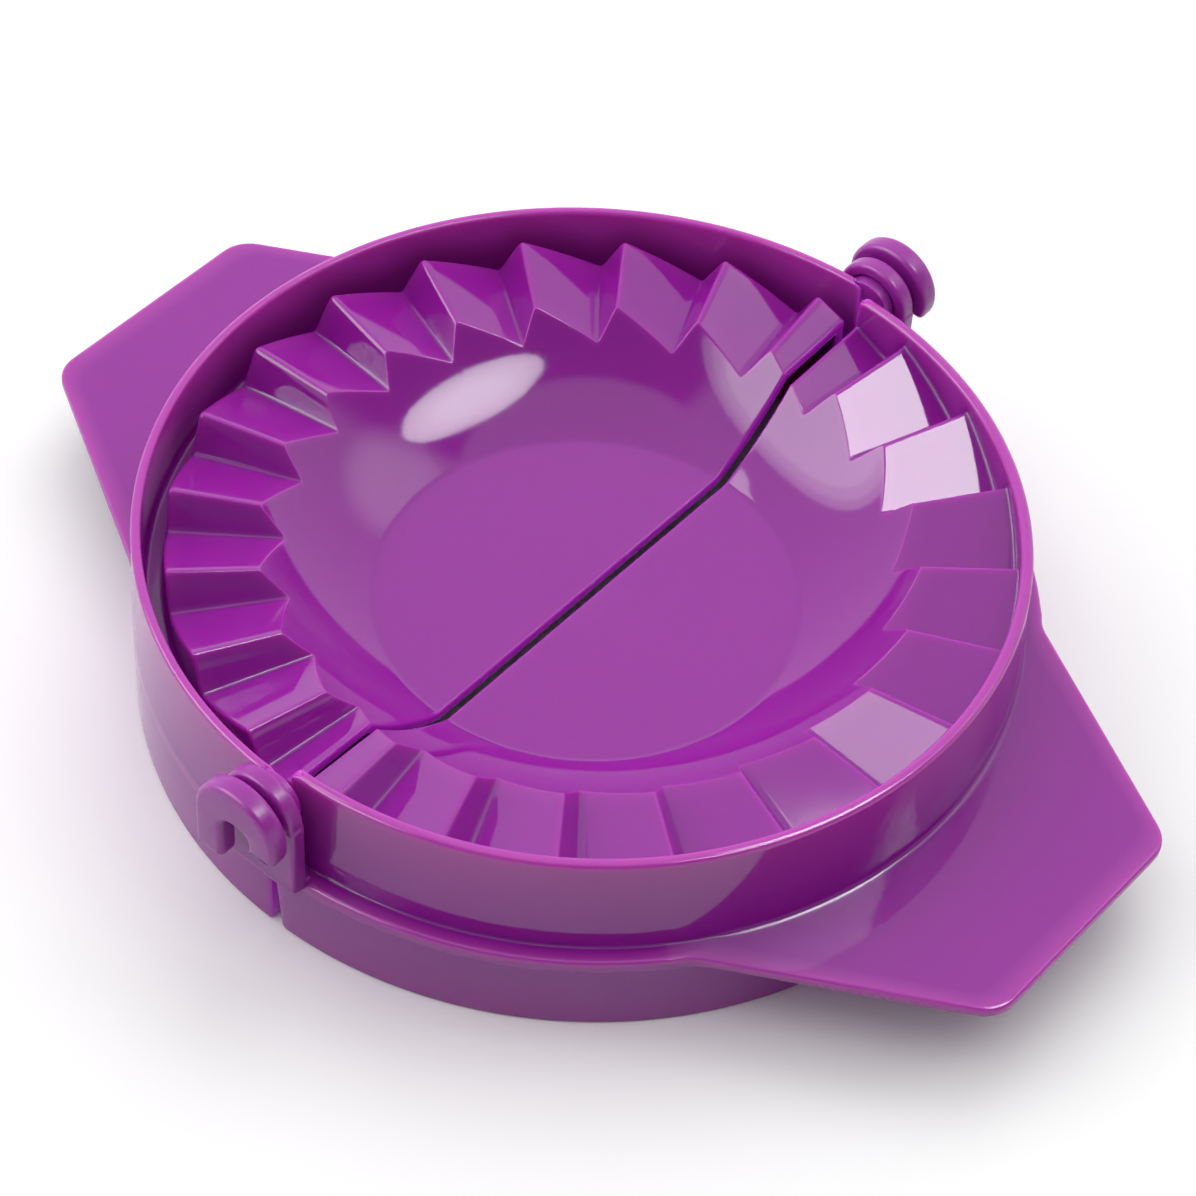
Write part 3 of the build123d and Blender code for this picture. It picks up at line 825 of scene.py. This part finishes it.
# %% [markdown]
# ## The plastic
#
# Polypropylene is dyed all through and slightly cloudy. Light enters it, wanders a millimetre or so
# and comes out again, redder than it went in, which is why thin walls look warmer than thick ones.
# Its skin is as glossy as the mould was polished, with the faintest waves where the plastic shrank.
#
# Each mesh carries three values for every point. The first is painted edge light: it paints the colour
# lighter and warmer at edges, in place of the light that shines through them. The second is painted
# seam glow: a faint purple emission on the seam faces, in place of the light that they pass to each
# other in their narrow gap, without which the gap is black. "satin" dulls the pivots, which a mould
# leaves less polished.
#
# A node tree is long to write socket by socket, so one helper adds a node with all its inputs.

# %% A helper for nodes
def add_node(tree, kind, inputs=None, **settings):
    """Add a node with its settings; each named input gets a number, a colour or a link."""
    node = tree.nodes.new("ShaderNode" + kind)
    for name, value in settings.items():
        setattr(node, name, value)
    for name, value in (inputs or {}).items():
        if isinstance(value, bpy.types.NodeSocket):
            tree.links.new(value, node.inputs[name])
        else:
            node.inputs[name].default_value = value
    return node


print("node trees are built with", add_node.__name__)

# %% A node group for moulded plastic
GROUP_SOCKETS = {
    "INPUT": {"Colour": "Color", "Painted edge light": "Color", "Painted seam glow": "Color", "Gloss": "Float"},
    "OUTPUT": {"Colour": "Color", "Glow": "Color", "Roughness": "Float", "Height": "Float"},
}
HAZE, SATIN = 0.05, 0.22     # roughness that the haze and the satin finish add
WAVE_SCALE, HAZE_SCALE = 90, 260


def moulded_group():
    """Colour with its painted edge light, painted seam glow, roughness and waves of the plastic, from a
    mesh's three values.
    """
    group = bpy.data.node_groups.new("Moulded plastic", "ShaderNodeTree")
    for way, sockets in GROUP_SOCKETS.items():
        for name, kind in sockets.items():
            group.interface.new_socket(name, in_out=way, socket_type="NodeSocket" + kind)
    given = group.nodes.new("NodeGroupInput").outputs
    place = add_node(group, "TexCoord").outputs["Object"]
    painted_edge_light, glow, satin = [add_node(group, "Attribute", attribute_name=name).outputs["Fac"]
                         for name in ("painted_edge_light", "glow", "satin")]

    def blend(share, first, second):
        inputs = {"Factor": share, "A": first, "B": second}
        return add_node(group, "Mix", inputs, data_type="RGBA").outputs["Result"]

    def noise(scale, detail):
        inputs = {"Vector": place, "Scale": scale, "Detail": detail}
        return add_node(group, "TexNoise", inputs).outputs["Fac"]

    def add_share(value, share, base):
        return add_node(group, "Math", {0: value, 1: share, 2: base}, operation="MULTIPLY_ADD").outputs[0]

    results = {
        # the colour is painted towards the lit edge colour at edges, and the glow is the painted seam glow
        "Colour": blend(painted_edge_light, given["Colour"], given["Painted edge light"]),
        "Glow": blend(glow, (0, 0, 0, 1), given["Painted seam glow"]),
        "Roughness": add_share(satin, SATIN, add_share(noise(HAZE_SCALE, 3), HAZE, given["Gloss"])),
        "Height": noise(WAVE_SCALE, 1),
    }
    result = group.nodes.new("NodeGroupOutput")
    for name, value in results.items():
        group.links.new(value, result.inputs[name])
    return group


MOULDED = moulded_group()
print("group sockets:", [item.name for item in MOULDED.interface.items_tree])

# %% Materials of the two halves
PURPLE = (0.30, 0.011, 0.33, 1)
# painted edge light: the lighter, warmer colour painted in at thin edges
LIT_EDGE = (0.42, 0.045, 0.40, 1)
# painted seam glow: the purple that the seam faces emit
SEAM_GLOW = (0.085, 0.003, 0.115, 1)
GLOSS = 0.04                 # roughness of the polished skin
# the emission at full strength carries the painted seam glow
SHADER = {
    "IOR": 1.54, "Subsurface Weight": 1.0, "Subsurface Radius": (1.0, 0.15, 0.65),
    "Subsurface Scale": 0.0024, "Emission Strength": 1,
}


def plastic(name):
    """A material whose colours come from the group and whose constants sit on the shader itself."""
    material = bpy.data.materials.new(name)
    material.use_nodes = True
    tree = material.node_tree
    shader = tree.nodes["Principled BSDF"].inputs
    for socket, value in SHADER.items():
        shader[socket].default_value = value
    finish = {"Colour": PURPLE, "Painted edge light": LIT_EDGE, "Painted seam glow": SEAM_GLOW, "Gloss": GLOSS}
    given = add_node(tree, "Group", finish, node_tree=MOULDED).outputs
    waves = add_node(tree, "Bump", {"Strength": 0.15, "Distance": 0.0002, "Height": given["Height"]})
    # the base colour carries the painted edge light, the emission the painted seam glow
    tree.links.new(given["Colour"], shader["Base Color"])
    tree.links.new(given["Glow"], shader["Emission Color"])
    tree.links.new(given["Roughness"], shader["Roughness"])
    tree.links.new(waves.outputs["Normal"], shader["Normal"])
    return material


for slot, pieces in (("left_half_plastic", left_pieces), ("right_half_plastic", right_pieces)):
    finish = plastic(slot)
    for piece in pieces:
        piece.data.materials.append(finish)
print("materials:", [material.name for material in bpy.data.materials])

# %% [markdown]
# ## The table
#
# The press lies on white paper that runs on to the white behind it. Paper this white would also throw
# a lot of light back up and wash out the shaded walls, where a real studio has dark things beyond the
# sheet. So the material has two greys, chosen by the kind of ray that asks: near white for the camera
# and for reflections, and a mid grey for the light that bounces to the press. The shadow stays.

# %% Table
PAPER_SEEN = (0.93, 0.93, 0.93, 1)
PAPER_BOUNCE = (0.32, 0.32, 0.32, 1)
table = bpy.data.meshes.new("table")
table.from_pydata([(-1, -1, 0), (1, -1, 0), (1, 1, 0), (-1, 1, 0)], [], [(0, 1, 2, 3)])
table_top = bpy.data.objects.new("table", table)
bpy.context.collection.objects.link(table_top)


def paper():
    """White to the eye and in reflections, and a mid grey for the light that it throws back up."""
    material = bpy.data.materials.new("white table")
    material.use_nodes = True
    tree = material.node_tree
    shader = tree.nodes["Principled BSDF"].inputs
    shader["Roughness"].default_value = 0.9
    ray = add_node(tree, "LightPath").outputs
    seen = ray["Is Camera Ray"]
    for kind in ("Is Glossy Ray", "Is Transmission Ray"):
        seen = add_node(tree, "Math", {0: seen, 1: ray[kind]}, operation="MAXIMUM").outputs[0]
    inputs = {"Factor": seen, "A": PAPER_BOUNCE, "B": PAPER_SEEN}
    colour = add_node(tree, "Mix", inputs, data_type="RGBA").outputs["Result"]
    tree.links.new(colour, shader["Base Color"])
    return material


table.materials.append(paper())
print("table", table_top.dimensions[:])

# %% [markdown]
# ## The room
#
# Gloss shows what stands round an object, so a plain white room makes plastic look like chalk. This
# room is pale, with one dark side that leaves the nearest walls deep, a lit ceiling, a pale band low
# down and one soft bright spot. Its brightness is a function of the direction alone: each part is a
# smooth step on the dot product of that direction with a fixed one.

# %% World
ROOM_LIGHT, ROOM_DARK, ROOM_LOW, ROOM_GLOW = 1.08, 0.20, 0.95, 1.4
DARK_SIDE = 118              # bearing of the middle of the room's dark side
GLOW = (32, 44)              # bearing and elevation of the middle of the bright spot
# Each ramp below runs between two values of that dot product.
SIDE_RAMP, CEILING_RAMP, LOW_RAMP, GLOW_RAMP = (0.22, 0.42), (0.85, 0.89), (0.09, 0.19), (0.955, 0.995)


def heading(bearing, elevation):
    """Unit vector towards a bearing, counted clockwise from +Y, and an elevation, in degrees."""
    turn, lift = np.radians(bearing), np.radians(elevation)
    return np.array([np.sin(turn) * np.cos(lift), np.cos(turn) * np.cos(lift), np.sin(lift)])


def room(world):
    """Brightness of the surroundings as a function of the direction alone."""
    tree = world.node_tree
    direction = add_node(tree, "TexCoord").outputs["Generated"]

    def ramp(value, ends, low, high):
        inputs = {"Value": value, "From Min": ends[0], "From Max": ends[1], "To Min": low, "To Max": high}
        return add_node(tree, "MapRange", inputs, interpolation_type="SMOOTHSTEP").outputs["Result"]

    def along(vector, fixed):
        inputs = {0: vector, 1: fixed}
        return add_node(tree, "VectorMath", inputs, operation="DOT_PRODUCT").outputs["Value"]

    def combine(operation, first, second):
        return add_node(tree, "Math", {0: first, 1: second}, operation=operation).outputs[0]

    level = add_node(tree, "VectorMath", {0: direction, 1: (1, 1, 0)}, operation="MULTIPLY")
    bearing = add_node(tree, "VectorMath", {0: level.outputs["Vector"]}, operation="NORMALIZE")
    from_dark_side = along(bearing.outputs["Vector"], heading(DARK_SIDE, 0))
    height = along(direction, (0, 0, 1))
    light = ramp(from_dark_side, SIDE_RAMP, ROOM_LIGHT, ROOM_DARK)
    for brighter in (ramp(height, CEILING_RAMP, 0, ROOM_LIGHT), ramp(height, LOW_RAMP, ROOM_LOW, 0)):
        light = combine("MAXIMUM", light, brighter)
    glow = ramp(along(direction, heading(*GLOW)), GLOW_RAMP, 0, ROOM_GLOW)
    light = combine("ADD", light, glow)
    tree.links.new(light, tree.nodes["Background"].inputs["Strength"])


world = bpy.data.worlds.new("studio")
bpy.context.scene.world = world
world.use_nodes = True
world.node_tree.nodes["Background"].inputs["Color"].default_value = (1, 1, 1, 1)
room(world)
print("room light", ROOM_LIGHT, "dark side", ROOM_DARK)

# %% [markdown]
# ## The lamps
#
# In a studio, gloss and colour are lit apart: softboxes are placed for the highlights that they
# leave, and large fills for the body colour. The same is done here by letting a lamp show in the
# gloss alone or in the matt light alone. Each softbox is placed from the spot whose highlight it
# makes: it stands in the mirror direction of the view, at a bearing and an elevation from that spot.
#
# A softbox is bright in its middle and fades to its rim, so the two large ones are stacks of ovals,
# each smaller than the last. Two small ones light the right half alone, as a card would shade the
# left one from them.

# %% Helpers for lamps
LAYER_GAP = 0.001            # metres between one layer of a soft-edged lamp and the next


def aimed(place, bearing, elevation, distance, tilt):
    """Matrix of a thing that looks at a place in metres from a direction, turned by tilt degrees."""
    away = heading(bearing, elevation)
    level = unit(np.cross([0, 0, 1], away))
    upright = np.cross(away, level)
    turn = np.radians(tilt)
    matrix = np.eye(4)
    matrix[:3, 0] = level * np.cos(turn) + upright * np.sin(turn)
    matrix[:3, 1] = upright * np.cos(turn) - level * np.sin(turn)
    matrix[:3, 2] = away
    matrix[:3, 3] = place + away * distance
    return matrix.T.tolist()


def softbox(name, radiance, half_size, spot, tilt=0, **direction):
    """Oval lamp that shows in gloss alone, placed from a spot in millimetres on the press."""
    lamp = bpy.data.lights.new(name, "AREA")
    lamp.shape = "ELLIPSE"
    lamp.size, lamp.size_y = 2 * half_size[0], 2 * half_size[1]
    lamp.energy = radiance * np.pi * np.pi * half_size[0] * half_size[1]
    light = bpy.data.objects.new(name, lamp)
    bpy.context.collection.objects.link(light)
    light.matrix_world = aimed(np.array(spot) * MM, tilt=tilt, **direction)
    light.visible_diffuse = False
    light.visible_camera = False
    print(f"{name}: radiance {radiance}, power {lamp.energy:.2f} W")
    return light


def soft_edged(name, layers, half_size, distance, **place):
    """Lamps of the same middle, each smaller than the last: layers holds (scale, radiance)."""
    for number, (scale, radiance) in enumerate(layers):
        size = (half_size[0] * scale, half_size[1] * scale)
        softbox(f"{name} {number}", radiance, size, distance=distance + LAYER_GAP * number, **place)


def only_for(light, name, pieces):
    """Let a lamp shine on some pieces alone, as a card beside it would."""
    receivers = bpy.data.collections.new(name)
    for piece in pieces:
        receivers.objects.link(piece)
    light.light_linking.receiver_collection = receivers


print("a lamp straight above stands towards", heading(0, 90).round(2))

# %% Lamps
soft_edged("long lamp", [(1, 7.8), (0.8, 1.4), (0.55, 1.4)], (0.225, 0.078),
           spot=(-27, 11, 15), bearing=80, elevation=54, distance=0.6, tilt=-14)
soft_edged("wide lamp", [(1, 1.9), (0.9, 1.2), (0.78, 1.2)], (0.53, 0.29),
           spot=(20, 28, 17), bearing=-140, elevation=32, distance=0.8, tilt=18)
small = softbox("small lamp", 10.8, (0.155, 0.09),
                spot=(15, 37, 20), bearing=45, elevation=69, distance=0.6, tilt=45)
side = softbox("side lamp", 4.0, (0.09, 0.07),
               spot=(41, -3, 20), bearing=-106, elevation=60, distance=0.6)
only_for(small, "lit by the small lamp", [right_half])
only_for(side, "lit by the side lamp", [right_half])

FILLS = {"top": (1.7, -20, 58), "left": (1.1, -110, 45), "front": (0.9, 150, 68)}
for name, (radiance, bearing, elevation) in FILLS.items():
    matt = softbox(f"{name} fill", radiance, (0.3, 0.3),
                   spot=(0, 0, 0), bearing=bearing, elevation=elevation, distance=0.9)
    matt.visible_diffuse = True
    matt.visible_glossy = False

# %% [markdown]
# ## The camera
#
# A camera looks along its own -Z axis, so it is placed as the lamps are: from the spot that it looks
# at, a direction, a distance and a roll. The lens is long, yet the camera stands less than half a
# metre away, so the far end of the seam looks about a seventh smaller than the near one.

# %% Camera
AIM = np.array([-0.00477, 0.00843, 0])      # the spot on the table, in metres, that it looks at
CAMERA_BEARING, CAMERA_ELEVATION, ROLL = 180 - 37.36, 48.12, 3.98
DISTANCE = 0.43028
FOCAL_PIXELS, FRAME_PIXELS = 3699.13, 1196
SENSOR = 36                  # width of the sensor, in millimetres
lens = bpy.data.cameras.new("camera")
lens.lens = FOCAL_PIXELS / FRAME_PIXELS * SENSOR
lens.sensor_width = SENSOR
camera = bpy.data.objects.new("camera", lens)
bpy.context.collection.objects.link(camera)
camera.matrix_world = aimed(AIM, CAMERA_BEARING, CAMERA_ELEVATION, DISTANCE, ROLL)
bpy.context.scene.camera = camera
bpy.context.scene.view_settings.view_transform = "Standard"
print("camera at", camera.location, "with a lens of", round(lens.lens, 1), "mm")
